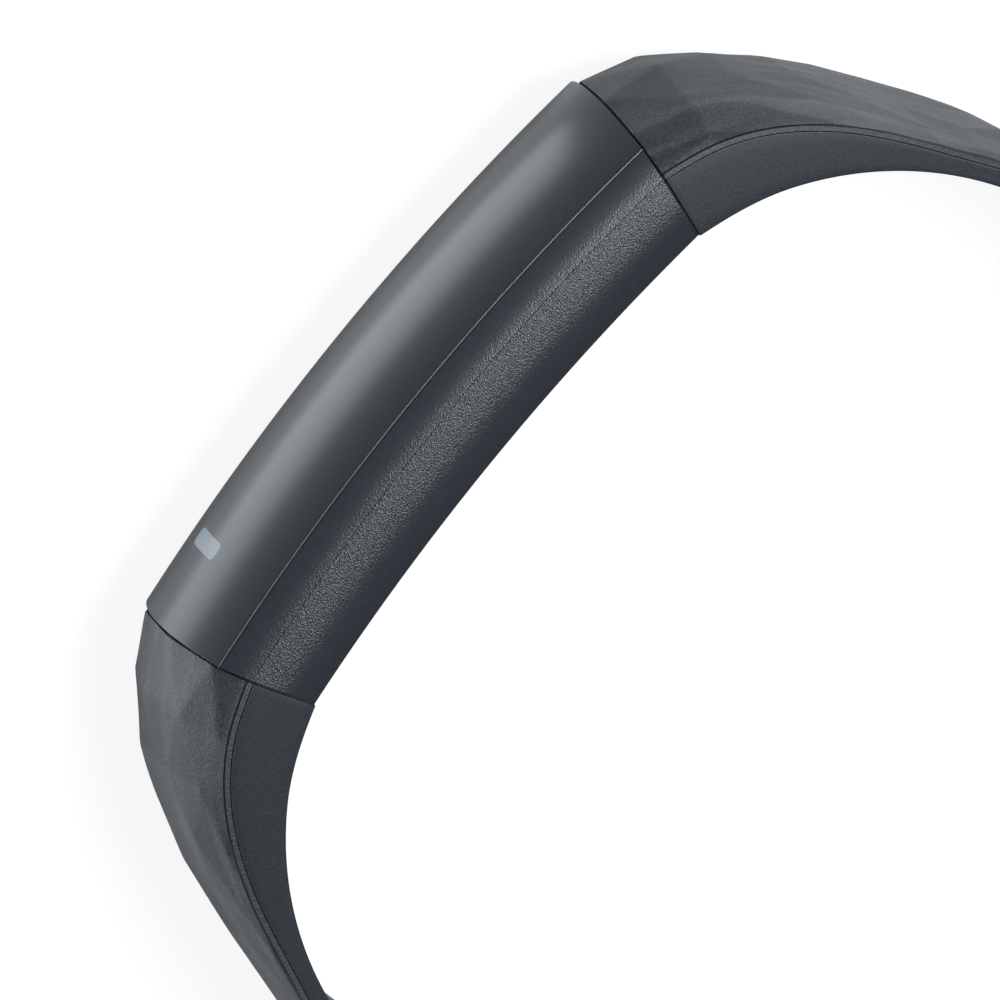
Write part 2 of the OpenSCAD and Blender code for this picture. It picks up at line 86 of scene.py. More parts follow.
# Straps and clasp, as in the part
STRAP_W = 19.2
LOOP_R = 23.6
SIDE_LEN = 17
STRAP_T = 2.3
ROOT_T = 9.3
STRAP_SIDE_H = 1.6
ROOT_SIDE_H = 4.8
TAPER_START = math.radians(12)
TAPER_SPAN = math.radians(55)
SIDE_START = math.radians(24)
SIDE_LEAN = 0.3
ARCH_POWER = 0.75
FACET_H = 0.12
TIP_R = 6
HOLE_PITCH = 4.5
HOLE_R = 1.7
FREE_HOLES = 6
CLASP_HOLES = 2
TAIL_EDGE = 0.8
CLASP_EDGE = 3
PEG_R = 1.25
LAYER_GAP = 0.3
PLATE_L = 15
PLATE_W = 11
PLATE_T = 0.9
PLATE_SEAT = 1.6
JOG_START = math.radians(120)
JOG_END = math.radians(176)

# Sizes that differ a little from the part, to fit the photograph
MARK_X = 16.3
MARK_L = 1.28
MARK_W = 4.6
EDGE_R = 0.12
ROOT_PROUD = 0.2
ROOT_PROUD_LEN = 7
CROWN_TRIM = {1: 0.35, -1: -0.45}
TRIM_START = 4
TRIM_FULL = 10
TRIM_END = 26

# Sizes that follow from those above
HALF_W = STRAP_W / 2
MID_Z = STRAP_W / 2
POD_HALF_W = HALF_W - POD_STEP
LAYER_STEP = STRAP_T + FACET_H + LAYER_GAP
EDGE_SAG = BEND_R - math.sqrt(BEND_R**2 - POD_LEN**2 / 4)
BACK_SAG = BACK_R - math.sqrt(BACK_R**2 - POD_HALF_W**2)
SEAM_RHO = LOOP_R + POD_H - BACK_SAG
ARC_A = POD_LEN / 2 - SEAM_RHO * math.sin(SEAM)
ARC_B = EDGE_SAG + SEAM_RHO * math.cos(SEAM)
INNER_B = ARC_B + SIDE_LEN + LOOP_R
BEND_LEN = LOOP_R * (math.pi / 2 - SEAM)
ARC_LEN = BEND_LEN + SIDE_LEN + LOOP_R * math.pi / 2
MID_S = ARC_LEN + ARC_A
TAIL_LEN = CLASP_HOLES * HOLE_PITCH + HOLE_R + TAIL_EDGE
CLASP_LEN = PLATE_L / 2 + CLASP_EDGE
CLASP_B = INNER_B + LAYER_STEP
PLATE_B = CLASP_B + PLATE_SEAT
PLATE_CORNER = PLATE_W / 4
LENS_Y = -(PLATE_B + PLATE_T - LENS_CROWN) / 2
SKIN_Y = LENS_Y + POD_H
TAIL_FLEX_S = MID_S - (CLASP_HOLES + 0.5) * HOLE_PITCH
ROOT_FLEX_S = BEND_LEN + SIDE_LEN / 2
LINK_SPLIT_S = (ROOT_FLEX_S + ARC_LEN) / 2
LENS_HALF_W = POD_HALF_W - SIDE_R + math.sqrt(SIDE_R**2 - SIDE_B**2)
LENS_R = (LENS_HALF_W**2 + LENS_CROWN**2) / (2 * LENS_CROWN)

# Half the length over which each strap bends
TAIL_BEND_HALF = 3
ROOT_BEND_HALF = 4
CLASP_BEND_HALF = 3

# Finishing sizes of the pod, which only show up close
LENS_INSET = 0.12
LENS_EDGE = LENS_HALF_W - LENS_INSET
GLUE_GAP = 0.02
LIP_GAP = 0.03
LIP_RISE = 0.05
LIP_FACE = 0.08
LIP_GROOVE = 0.06
LIP_RUN = 0.072
PART_GAP = 0.035
BACK_ROUND = 0.08
BACK_MIDDLE = 0.2
MARK_CORNER = MARK_L / 3
MARK_RISE = 0.015
MARK_RIM_RISE = 0.0045
LENS_BEVEL = 0.05
SHELL_BEVEL = 0.06
FITTING_BEVEL = 0.12

# The housing's grain: its strengths, and the depths below the lens edge where it starts and thins out
UPPER_GRAIN = 0.6
GRAIN_START = 0.6
GRAIN_RAMP = 1.6
SKIN_FADE = 0.8
SKIN_FADE_START = 3.4
SKIN_FADE_RAMP = 2.2

# Finishing sizes of the straps
END_ROUND = 0.06
NECK_LEN = 0.14
NECK_INSET = 0.25
HOLE_RIM = 0.3
SIDE_ZONE = HALF_W / 4
GROOVE_STRIP = 0.43
GROOVE_HALF = 0.06
THIN_HALF = 0.04
GROOVE_DEEP = 0.09
GROOVE_LIP = 0.05

# Facets and streaks on the straps' outer faces, by length, and by angle round the arch. The facets stand
# out in the shape; their differing lightness is painted sheen, and the streaks are painted highlight
FACET_L = 3.4
FACET_COLS = 5
FACET_JITTER = 0.3
FACET_SPREAD = 0.3
FACET_MARGIN = 0.06
FACET_FADE = 0.2
FACET_TONE = 0.4
STREAK_L = 12
STREAK_W = 0.1
STREAK_POWER = 3
STREAK_TONE = 0.9
LONG_SEED = 1
CLASP_SEED = 2

# How finely the modelled surfaces are divided
ROW_STEP = 0.4
ARCH_POINTS = 72
INNER_POINTS = 12
FILLET_POINTS = 5
TIP_POINTS = 24
SIDE_SHARES = (0.2, 0.4, 0.6, 0.8)
POD_ROWS = 80
BRIDGE_ROWS = 8
END_WALL_ROWS = 4
LENS_POINTS = 60
LENS_INNER_POINTS = 30
RAIL_POINTS = 14
RAIL_INNER_POINTS = 8
SHELL_POINTS = 24
SHELL_CORNER_POINTS = 8
CORNER_SEARCH = 4000
RING_STEPS = 8
MARK_SHARES = (1, 0.85, 0.6, 0.3)
ROD_SIDES = 48
WINDOW_SIDES = 96
POD_BEVEL_STEPS = 2
FITTING_BEVEL_STEPS = 3

# Edges that turn by more than these angles are drawn sharp
STRAP_SHARP_DEG = 40
POD_SHARP_DEG = 32

# Directions: the two sides of the pod, and the way from the lens to the skin
HANDS = (-1, 1)
SKINWARD = (0, 1, 0)


def ease(x):
    """A smooth step from 0 to 1."""
    c = np.clip(x, 0, 1)
    return c * c * (3 - 2 * c)


# Meshes
def mesh_object(name, points, faces, materials, indices=None, sharp_deg=STRAP_SHARP_DEG):
    """A smooth-shaded object from points in millimetres."""
    mesh = bpy.data.meshes.new(name)
    mesh.from_pydata((np.asarray(points, float) * MM).tolist(), [], faces)
    for finish in materials:
        mesh.materials.append(finish)
    if indices is not None:
        mesh.polygons.foreach_set("material_index", indices)
    shell = bmesh.new()
    shell.from_mesh(mesh)
    bmesh.ops.recalc_face_normals(shell, faces=shell.faces)
    shell.to_mesh(mesh)
    shell.free()
    smooth(mesh, sharp_deg)
    obj = bpy.data.objects.new(name, mesh)
    bpy.context.scene.collection.objects.link(obj)
    return obj


def smooth(mesh, sharp_deg):
    """Shades a mesh smoothly, apart from its sharp edges."""
    mesh.shade_smooth()
    mesh.set_sharp_from_angle(angle=math.radians(sharp_deg))


def tube_faces(rows, cols):
    """Quads round a closed section carried along rows, and a cap at each end."""
    quads = []
    for i, j in itertools.product(range(rows - 1), range(cols)):
        a = i * cols + j
        b = i * cols + (j + 1) % cols
        quads.append((a, b, b + cols, a + cols))
    start = tuple(range(cols))
    end = tuple(range((rows - 1) * cols, rows * cols))
    return quads + [start, end]


def cut(obj, cutters, sharp_deg=STRAP_SHARP_DEG):
    """Takes the cutters out of obj for good."""
    for cutter in cutters:
        change = obj.modifiers.new("cut", "BOOLEAN")
        change.operation = "DIFFERENCE"
        change.solver = "EXACT"
        change.object = cutter
    ready = obj.evaluated_get(bpy.context.evaluated_depsgraph_get())
    mesh = bpy.data.meshes.new_from_object(ready)
    obj.modifiers.clear()
    obj.data = mesh
    for cutter in cutters:
        bpy.data.objects.remove(cutter)
    smooth(mesh, sharp_deg)


def merge(obj, others):
    """Takes the other objects' meshes into obj."""
    whole = bmesh.new()
    whole.from_mesh(obj.data)
    for other in others:
        whole.from_mesh(other.data)
        bpy.data.objects.remove(other)
    whole.to_mesh(obj.data)
    whole.free()


def add_bevel(obj, width, segments):
    """Rounds the sharp edges of obj."""
    change = obj.modifiers.new("rounded edges", "BEVEL")
    change.width = width * MM
    change.segments = segments
    change.limit_method = "ANGLE"
    change.angle_limit = math.radians(POD_SHARP_DEG)
    change.harden_normals = True


def lathe_cutter(centre, axis, stations, sides=ROD_SIDES):
    """A round cutter from its stations along the axis, each a place and a radius."""
    turn_to = Vector((0, 0, 1)).rotation_difference(Vector(axis)).to_matrix()
    rings = []
    for along, radius in stations:
        for k in range(sides):
            angle = 2 * math.pi * k / sides
            spot = turn_to @ Vector((radius * math.cos(angle), radius * math.sin(angle), along))
            rings.append(tuple(Vector(centre) + spot))
    return mesh_object("cutter", rings, tube_faces(len(stations), sides), [])


def rod(centre, axis, radius, length, sides=ROD_SIDES):
    """A round cutter of one radius."""
    return lathe_cutter(centre, axis, [(-length / 2, radius), (length / 2, radius)], sides)


def block(corner, edges):
    """A box cutter from one corner and its three edge vectors."""
    a, b, c = (np.array(e, float) for e in edges)
    base = [np.array(corner, float) + k for k in (0 * a, a, a + b, b)]
    points = base + [p + c for p in base]
    return mesh_object("cutter", points, tube_faces(2, 4), [])


def rounded_ring(length, width, radius):
    """A rectangle with rounded corners, with points along its sides too."""
    ring = []
    for quarter in range(4):
        along = 1 if quarter in (0, 3) else -1
        across = 1 if quarter < 2 else -1
        x0 = along * (length / 2 - radius)
        z0 = across * (width / 2 - radius)
        for step in range(RING_STEPS + 1):
            angle = math.pi / 2 * (quarter + step / RING_STEPS)
            ring.append((x0 + radius * math.cos(angle), z0 + radius * math.sin(angle)))
        x, z = ring[-1]
        side = (-2 * x0, 0) if quarter % 2 == 0 else (0, -2 * z0)
        for step in range(1, RING_STEPS):
            share = step / RING_STEPS
            ring.append((x + share * side[0], z + share * side[1]))
    return ring


def rounded_prism(length, width, radius, b0, b1):
    """A flat cutter with rounded corners between two depths, centred on the clasp."""
    ring = rounded_ring(length, width, radius)
    points = [(x, LENS_Y + b, MID_Z + z) for b in (b0, b1) for x, z in ring]
    return mesh_object("cutter", points, tube_faces(2, len(ring)), [])


# Materials
NOISE_DETAIL = 2
NOISE_ROUGH = 0.6


def material(
    name, color, rough, metallic=0.0, coat=0.0, specular=0.5,
    grain=0.0, speckle_and_glint=0.25, grain_mm=0.25, masked=False, toned=False,
):
    """A finish whose colour varies in fine specks, partly the grain's own tone and partly painted glints,
    with an optional grain as a bump.
    """
    made = bpy.data.materials.new(name)
    made.use_nodes = True
    nodes, links = made.node_tree.nodes, made.node_tree.links
    shader = nodes["Principled BSDF"]
    shader.inputs["Roughness"].default_value = rough
    shader.inputs["Metallic"].default_value = metallic
    shader.inputs["Coat Weight"].default_value = coat
    shader.inputs["Specular IOR Level"].default_value = specular
    place = nodes.new("ShaderNodeTexCoord")
    noise = nodes.new("ShaderNodeTexNoise")
    noise.inputs["Scale"].default_value = 1 / (grain_mm * MM)
    noise.inputs["Detail"].default_value = NOISE_DETAIL
    noise.inputs["Roughness"].default_value = NOISE_ROUGH
    links.new(place.outputs["Object"], noise.inputs["Vector"])
    # Fine specks in the colour: partly the grain's own tone, partly painted glints of the grain
    level = math_node(nodes, "MULTIPLY_ADD", links, noise.outputs["Fac"], speckle_and_glint, 1 - speckle_and_glint / 2)
    # On the straps' outer faces, the colour is scaled by the painted sheen and highlight streaks held on
    # the mesh
    if toned:
        level = math_node(nodes, "MULTIPLY", links, level, attribute(nodes, "tone"))
    tint = nodes.new("ShaderNodeVectorMath")
    tint.operation = "SCALE"
    tint.inputs["Vector"].default_value = color
    links.new(level, tint.inputs["Scale"])
    links.new(tint.outputs["Vector"], shader.inputs["Base Color"])
    if grain:
        height = noise.outputs["Fac"]
        if masked:
            height = math_node(nodes, "MULTIPLY", links, height, attribute(nodes, "grain"))
        bump = nodes.new("ShaderNodeBump")
        bump.inputs["Strength"].default_value = 1
        bump.inputs["Distance"].default_value = grain * MM
        links.new(height, bump.inputs["Height"])
        links.new(bump.outputs["Normal"], shader.inputs["Normal"])
    return made


def math_node(nodes, operation, links, *values):
    """The result of one operation on the given sockets and numbers."""
    node = nodes.new("ShaderNodeMath")
    node.operation = operation
    for socket, value in zip(node.inputs, values):
        if isinstance(value, bpy.types.NodeSocket):
            links.new(value, socket)
        else:
            socket.default_value = value
    return node.outputs["Value"]


def attribute(nodes, name):
    """The value that a mesh holds under this name at each point."""
    node = nodes.new("ShaderNodeAttribute")
    node.attribute_name = name
    return node.outputs["Fac"]


LENS = material("smoked_lens", (0.008, 0.011, 0.014), 0.3, specular=0.45, speckle_and_glint=0.05)
# Lip beside the lens, lighter than the housing: a painted highlight
EDGE = material("lip_painted_highlight", (0.1, 0.107, 0.115), 0.3)
HOUSING = material(
    "grained_housing", (0.027, 0.032, 0.04), 0.29, specular=0.54,
    grain=0.048, speckle_and_glint=1.0, grain_mm=0.13, masked=True,
)
STRAP_SIDE = material(
    "strap_side", (0.026, 0.031, 0.038), 0.5, specular=0.3,
    grain=0.02, speckle_and_glint=1.4, grain_mm=0.13,
)
STRAP_STRIP = material(
    "strap_strip", (0.026, 0.03, 0.035), 0.5, specular=0.7,
    grain=0.05, speckle_and_glint=2.6, grain_mm=0.16,
)
# Straps' outer faces, lighter and darker by the painted sheen of facets and streaks
STRAP_TOP = material(
    "strap_top", (0.054, 0.059, 0.066), 0.48, specular=0.36,
    grain=0.05, speckle_and_glint=2.2, grain_mm=0.17, toned=True,
)
# Groove walls, the seam neck and the arch's last face: darker than the strap, painted shade
GROOVE_SHADE = material("strap_groove_painted_shade", (0.02, 0.023, 0.027), 0.6, specular=0.3)
MARK = material("touch_mark", (0.2, 0.233, 0.265), 0.35)
SLOT_FINISHES = {
    "mark": MARK,
    "resin": material("resin", (0.2, 0.21, 0.22), 0.2),
    "display": material("display", (0.01, 0.011, 0.013), 0.15),
    "foam": material("foam", (0.04, 0.04, 0.04), 0.9),
    "ribbon": material("ribbon", (0.3, 0.14, 0.03), 0.4),
    "seal": material("seal", (0.02, 0.02, 0.02), 0.6),
    "window": material("window", (0.01, 0.01, 0.012), 0.08, coat=0.5),
    "board": material("board", (0.01, 0.06, 0.03), 0.45),
    "led": material("led", (0.55, 0.7, 0.5), 0.3),
    "chip": material("chip", (0.015, 0.015, 0.017), 0.5),
    "gold": material("gold", (0.75, 0.53, 0.22), 0.25, metallic=1.0),
    "chassis": material("chassis", (0.03, 0.032, 0.035), 0.5),
    "steel": material("steel", (0.55, 0.56, 0.58), 0.3, metallic=1.0),
    "connector": material("connector", (0.6, 0.56, 0.45), 0.5),
    "copper": material("copper", (0.6, 0.32, 0.16), 0.3, metallic=1.0),
    "cell": material("cell", (0.45, 0.46, 0.48), 0.4, metallic=0.6),
    "tungsten": material("tungsten", (0.3, 0.29, 0.27), 0.45, metallic=1.0),
    "clasp": material("clasp", (0.34, 0.35, 0.37), 0.32, metallic=1.0),
    "lens": LENS,
    "housing": HOUSING,
    "strap": STRAP_SIDE,
}
STRAP_FINISHES = [STRAP_SIDE, STRAP_STRIP, STRAP_TOP, GROOVE_SHADE]
SIDE_INDEX, STRIP_INDEX, TOP_INDEX, GROOVE_SHADE_INDEX = range(4)
SHELL_FINISHES = [HOUSING, EDGE]
LIP_HIGHLIGHT_INDEX = 1


# Straps, by length s along the inner face from the seam; h stands outward and w runs along the wrist
def straight(s):
    """How much of the straight side lies before s."""
    return np.clip(s - BEND_LEN, 0, SIDE_LEN)


def turn(s):
    """The angle that the strap has turned through at s."""
    return np.minimum(SEAM + (s - straight(s)) / LOOP_R, math.pi)


def thinning(s):
    """How much of the root's extra thickness is left at s."""
    return 1 - ease((turn(s) - TAPER_START) / TAPER_SPAN)


def crown_h(s):
    """The height of the outer face, in its middle."""
    return STRAP_T + (ROOT_T - STRAP_T) * thinning(s)


def lowering(s):
    """How much of the root's extra side height is left at s."""
    return 1 - ease((turn(s) - SIDE_START) / (TAPER_START + TAPER_SPAN - SIDE_START))


def side_h(s):
    """The height of the side wall."""
    return STRAP_SIDE_H + (ROOT_SIDE_H - STRAP_SIDE_H) * lowering(s)


def side_draw(s, h):
    """How far the side wall leans in at height h, curving in towards its top."""
    return SIDE_LEAN * lowering(s) * np.clip(h / side_h(s), 0, 1) ** 2


def strap_point(s, h, w, lift, hand):
    """The place of a strap point; hand is 1 on the +X side and -1 on the -X side."""
    rise = h + lift * ease((turn(s) - JOG_START) / (JOG_END - JOG_START))
    x = ARC_A + (LOOP_R + rise) * np.sin(turn(s)) - np.maximum(0, s - ARC_LEN)
    y = LENS_Y + ARC_B + straight(s) - (LOOP_R + rise) * np.cos(turn(s))
    return np.stack(np.broadcast_arrays(hand * x, y, MID_Z + w), axis=-1)


def bend_place(s, lift, hand):
    """A place on the inner face of a strap, in metres."""
    return tuple(strap_point(np.array(s), 0, 0, lift, hand) * MM)


def round_off(d):
    """How far a surface draws in at distance d from a rounded end."""
    near = np.clip(END_ROUND - d, 0, END_ROUND)
    return END_ROUND - np.sqrt(END_ROUND**2 - near**2)


def strap_rows(s0, s1, tip):
    """Where the sections of a strap stand, closer together at its rounded ends."""
    fillet = END_ROUND * (1 - np.cos(np.linspace(0, math.pi / 2, FILLET_POINTS)))
    even = np.linspace(s0 + END_ROUND, s1 - END_ROUND, math.ceil((s1 - s0) / ROW_STEP))
    if not tip:
        return np.concatenate([s0 + fillet[:-1], even, [s1]])
    even = even[even < s1 - TIP_R]
    swing = s1 - TIP_R + (TIP_R - END_ROUND) * np.sin(np.linspace(0, math.pi / 2, TIP_POINTS))
    return np.concatenate([s0 + fillet[:-1], even, swing, s1 - fillet[-2::-1]])


SCATTER_RATES = (12.9898, 78.233, 37.719)
SCATTER_SCALE = 43758.5453


def scatter(i, j, seed):
    """A number from 0 to 1 that jumps about from place to place."""
    along, across, apart = SCATTER_RATES
    wave = np.sin(along * i + across * j + apart * seed) * SCATTER_SCALE
    return wave - np.floor(wave)


def drift(u, v, seed):
    """The same, changing smoothly between whole places."""
    i, j = np.floor(u), np.floor(v)
    a, b = ease(u - i), ease(v - j)
    near = (1 - a) * scatter(i, j, seed) + a * scatter(i + 1, j, seed)
    far = (1 - a) * scatter(i, j + 1, seed) + a * scatter(i + 1, j + 1, seed)
    return (1 - b) * near + b * far


def arch_point(s, theta, lift, hand, extra):
    """A place on the outer face, at angle theta round its arch, raised by extra."""
    g = side_h(s)
    h = g + (crown_h(s) - g + extra) * np.sin(theta) ** (2 * ARCH_POWER)
    half_w = HALF_W - SIDE_LEAN * lowering(s) + extra * FACET_SPREAD
    return strap_point(s, h, half_w * np.cos(theta), lift, hand)


def facet_shift(s, theta, lift, hand, seed):
    """The shift from the smooth arch to flat three-sided facets, and how light each place is painted:
    painted sheen by facet and painted highlight in streaks.
    """
    k = np.floor(s / FACET_L)
    f = s / FACET_L - k
    offset = 0.5 * np.mod(k, 2)
    across = theta / math.pi * FACET_COLS - offset - 0.5 * f
    m = np.floor(across)
    a = across - m
    low = a + f < 1

    def corner(dk, dm):
        column = m + dm + offset + 0.5 * dk
        spot = np.clip(column * math.pi / FACET_COLS, 0, math.pi)
        rise = FACET_JITTER * scatter(k + dk, column, seed)
        return arch_point((k + dk) * FACET_L, spot, lift, hand, rise)

    first = np.where(low[..., None], corner(0, 0), corner(1, 1))
    first_weight = np.where(low, 1 - a - f, a + f - 1)[..., None]
    second_weight = np.where(low, a, 1 - f)[..., None]
    third_weight = np.where(low, f, 1 - a)[..., None]
    flat = first_weight * first + second_weight * corner(0, 1) + third_weight * corner(1, 0)
    shift = flat - arch_point(s, theta, lift, hand, 0 * s)
    side_fade = ease((np.minimum(theta, math.pi - theta) - FACET_MARGIN) / FACET_FADE)
    facet_sheen = 2 * scatter(k, m + 0.5 * low, seed + 1) - 1
    mean_streak = 1 / (STREAK_POWER + 1)
    streak = drift(s / STREAK_L, theta / STREAK_W, seed) ** STREAK_POWER - mean_streak
    tone = 1 + FACET_TONE * facet_sheen + STREAK_TONE * streak
    return shift * side_fade[..., None], tone


def strap_section(s, width):
    """Heights, widths and finishes round the closed section at s, and its arch: its columns and angles."""
    g = side_h(s)
    c = crown_h(s) - g
    one = np.ones_like(s)
    heights, widths, finish = [], [], []

    def add(h, w, index):
        on_side = np.abs(w) > width - SIDE_ZONE
        drawn = w - np.sign(w) * side_draw(s, h * one) * on_side
        heights.append(h * one)
        widths.append(drawn * one)
        finish.append(index)

    # Inner face, lower edge and side wall
    for t in np.linspace(-1, 1, INNER_POINTS):
        add(0, t * (width - EDGE_R), SIDE_INDEX)
    bow = np.linspace(0, math.pi / 2, FILLET_POINTS)[1:]
    for angle in bow:
        add(EDGE_R * (1 - math.cos(angle)), width - EDGE_R * (1 - math.sin(angle)), SIDE_INDEX)
    lower = g - GROOVE_STRIP
    for t in SIDE_SHARES:
        add(EDGE_R + t * (lower - THIN_HALF - EDGE_R), width, SIDE_INDEX)

    # The two groove lines: height, depth, and the finish from there to the next. The groove walls take the
    # darker finish, painted shade
    steps = [
        (lower - THIN_HALF - GROOVE_LIP, 0, STRIP_INDEX),
        (lower - THIN_HALF, GROOVE_LIP / 4, GROOVE_SHADE_INDEX),
        (lower, GROOVE_DEEP, GROOVE_SHADE_INDEX),
        (lower + THIN_HALF, 0, STRIP_INDEX),
        ((lower + g) / 2, 0, STRIP_INDEX),
        (g - GROOVE_HALF, 0, GROOVE_SHADE_INDEX),
        (g, GROOVE_DEEP, GROOVE_SHADE_INDEX),
    ]
    for h, deep, index in steps:
        add(h, width - deep, index)

    # Arch of the outer face
    arch_first = len(heights)
    theta0 = np.arcsin((GROOVE_HALF / c) ** (0.5 / ARCH_POWER))
    thetas = [theta0 + (math.pi - 2 * theta0) * t for t in np.linspace(0, 1, ARCH_POINTS)]
    for theta in thetas:
        top_w = width - SIDE_LEAN * lowering(s)
        heights.append(g + c * np.sin(theta) ** (2 * ARCH_POWER))
        widths.append(top_w * np.cos(theta))
        finish.append(TOP_INDEX)
    arch = slice(arch_first, len(heights))
    # The arch's last face, beside the far groove, takes the painted shade too
    finish[-1] = GROOVE_SHADE_INDEX

    # The same groove lines, side wall and edge down the other side
    before = [SIDE_INDEX] + [index for _, _, index in steps[:-1]]
    for (h, deep, _), index in zip(reversed(steps), reversed(before)):
        add(h, deep - width, index)
    for t in reversed(SIDE_SHARES):
        add(EDGE_R + t * (lower - THIN_HALF - EDGE_R), -width, SIDE_INDEX)
    for angle in reversed(bow):
        add(EDGE_R * (1 - math.cos(angle)), EDGE_R * (1 - math.sin(angle)) - width, SIDE_INDEX)
    return np.stack(heights, 1), np.stack(widths, 1), finish, arch, np.stack(thetas, 1)


def strap(name, s0, s1, lift, hand, seed, tip=False, at_seam=True):
    """A strap from s0 to s1, with a rounded tip or a neck in the seam where it has them; the neck is
    coloured with painted shade.
    """
    s = strap_rows(s0, s1, tip)
    inset = round_off(s - s0) if at_seam else np.zeros_like(s)
    if at_seam:
        s = np.concatenate([[s0 - NECK_LEN, s0], s])
        inset = np.concatenate([[0, 0], inset])
    width = np.full_like(s, HALF_W)
    if tip:
        width = HALF_W - TIP_R + np.sqrt(TIP_R**2 - np.clip(s - s1 + TIP_R, 0, TIP_R) ** 2)
        inset = inset + round_off(s1 - s)
    h, w, finish, arch, theta = strap_section(s, width)

    # The crown's fit to the photograph, the rounded ends and the neck
    trim_in = ease((s - TRIM_START) / (TRIM_FULL - TRIM_START))
    trim_out = ease((TRIM_END - s) / TRIM_FULL)
    trim = CROWN_TRIM[hand] * trim_in * trim_out
    above = np.clip(h / side_h(s)[:, None] - 1, 0, None)
    h = h + trim[:, None] * above / above.max(axis=1, keepdims=True)
    middle = crown_h(s)[:, None] / 2
    h = middle + (h - middle) * (1 - inset[:, None] / middle)
    w = w * (1 - inset[:, None] / width[:, None])
    if at_seam:
        h[:2] *= 1 - NECK_INSET / crown_h(s[:2, None])
        w[:2] *= 1 - NECK_INSET / HALF_W
    proud = ROOT_PROUD * (1 - ease((s - s0) / ROOT_PROUD_LEN)) if at_seam else 0 * s
    h = h - proud[:, None] * np.clip(1 - h / side_h(s)[:, None], 0, 1)

    # Places, facets, tones and finishes
    station = np.repeat(s[:, None], h.shape[1], axis=1)
    points = strap_point(station, h, w, lift, hand)
    shift, tone = facet_shift(station[:, arch], theta, lift, hand, seed)
    points[:, arch] += shift
    # Painted sheen and streak highlight on the arch, plain elsewhere
    sheen_levels = np.ones_like(h)
    sheen_levels[:, arch] = tone
    rows, cols = h.shape
    indices = finish * (rows - 1) + [SIDE_INDEX, SIDE_INDEX]
    # The neck in the seam takes the painted shade as well
    if at_seam:
        indices[: 2 * cols] = [GROOVE_SHADE_INDEX] * (2 * cols)
    made = mesh_object(name, points.reshape(-1, 3), tube_faces(rows, cols), STRAP_FINISHES, indices)
    made.data.attributes.new("tone", "FLOAT", "POINT").data.foreach_set("value", sheen_levels.ravel())
    return made


def seam_vectors(hand):
    """The centre of a strap's bend, and the ways along the strap, outward and up at its seam."""
    centre = np.array([hand * ARC_A, LENS_Y + ARC_B, MID_Z])
    away = np.array([hand * math.cos(SEAM), math.sin(SEAM), 0])
    outward = np.array([hand * math.sin(SEAM), -math.cos(SEAM), 0])
    return centre, away, outward, np.array([0, 0, 1])


def lug_block(hand, grow):
    """The pod's lug in the strap's root, or with grow the room for it."""
    centre, away, outward, up = seam_vectors(hand)
    corner = centre - away * WALL / 2 + outward * (LOOP_R + LUG_LOW - grow) - up * (LUG_W / 2 + grow)
    length = LUG_LEN + WALL / 2 + grow
    return block(corner, (away * length, outward * (LUG_H + 2 * grow), up * (LUG_W + 2 * grow)))


def pin_bore(hand):
    """A cutter for the pin that holds a strap to its lug."""
    centre, away, outward, up = seam_vectors(hand)
    spot = centre + away * LUG_LEN / 2 + outward * (LOOP_R + LUG_LOW + LUG_H / 2)
    return rod(spot, up, PIN_R + RUN_GAP, PIN_LEN + 2 * FIT_GAP)


def strap_hole(s):
    """A cutter for one hole, with a chamfered rim on both faces."""
    centre = strap_point(np.array(s), np.array(STRAP_T / 2), np.array(0.0), 0, 1)
    outward = (math.sin(turn(s)), -math.cos(turn(s)), 0)
    rim_r = HOLE_R + HOLE_RIM
    outer = [(STRAP_T / 2 - HOLE_RIM, HOLE_R), (STRAP_T / 2, rim_r), (STRAP_T, rim_r)]
    inner = [(-along, radius) for along, radius in reversed(outer)]
    return lathe_cutter(centre, outward, inner + outer)


# Long strap with its holes, and the places at either end of its tail bend, which are worked out but not
# used
long_strap = strap("long_strap", SEAM_GAP / 2, MID_S + TAIL_LEN, 0, 1, LONG_SEED, tip=True)
hole_places = range(-CLASP_HOLES - FREE_HOLES, CLASP_HOLES + 1)
holes = [strap_hole(MID_S + i * HOLE_PITCH) for i in hole_places]
cut(long_strap, holes + [lug_block(1, FIT_GAP), pin_bore(1)])
bend_place(TAIL_FLEX_S - TAIL_BEND_HALF, 0, 1)
bend_place(TAIL_FLEX_S + TAIL_BEND_HALF, 0, 1)
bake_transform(long_strap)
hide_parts("long_strap_root", "long_strap_tail")

# Clasp strap from its seam to the middle of its link
clasp_root = strap("clasp_strap_upper", SEAM_GAP / 2, LINK_SPLIT_S, LAYER_STEP, -1, CLASP_SEED)
cut(clasp_root, [lug_block(-1, FIT_GAP), pin_bore(-1)])
bend_place(ROOT_FLEX_S - ROOT_BEND_HALF, 0, -1)
bend_place(ROOT_FLEX_S + ROOT_BEND_HALF, 0, -1)
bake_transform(clasp_root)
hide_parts("clasp_strap_root")

# Clasp strap from there to its tip, with the seat of the clasp plate and the bores of its pegs
clasp_tail = strap(
    "clasp_strap_lower", LINK_SPLIT_S, MID_S + CLASP_LEN, LAYER_STEP, -1, CLASP_SEED,
    tip=True, at_seam=False,
)
peg_y = LENS_Y + CLASP_B + STRAP_T / 2
pegs = [
    rod((x, peg_y, MID_Z), SKINWARD, PEG_R + RUN_GAP, 3 * STRAP_T)
    for x in (-HOLE_PITCH, HOLE_PITCH)
]
seat_l = PLATE_L + 2 * RUN_GAP
seat_w = PLATE_W + 2 * RUN_GAP
seat = rounded_prism(seat_l, seat_w, PLATE_CORNER, PLATE_B, PLATE_B + STRAP_T)
cut(clasp_tail, pegs + [seat])
bend_place(ARC_LEN - CLASP_BEND_HALF, LAYER_STEP, -1)
bend_place(ARC_LEN + CLASP_BEND_HALF, LAYER_STEP, -1)
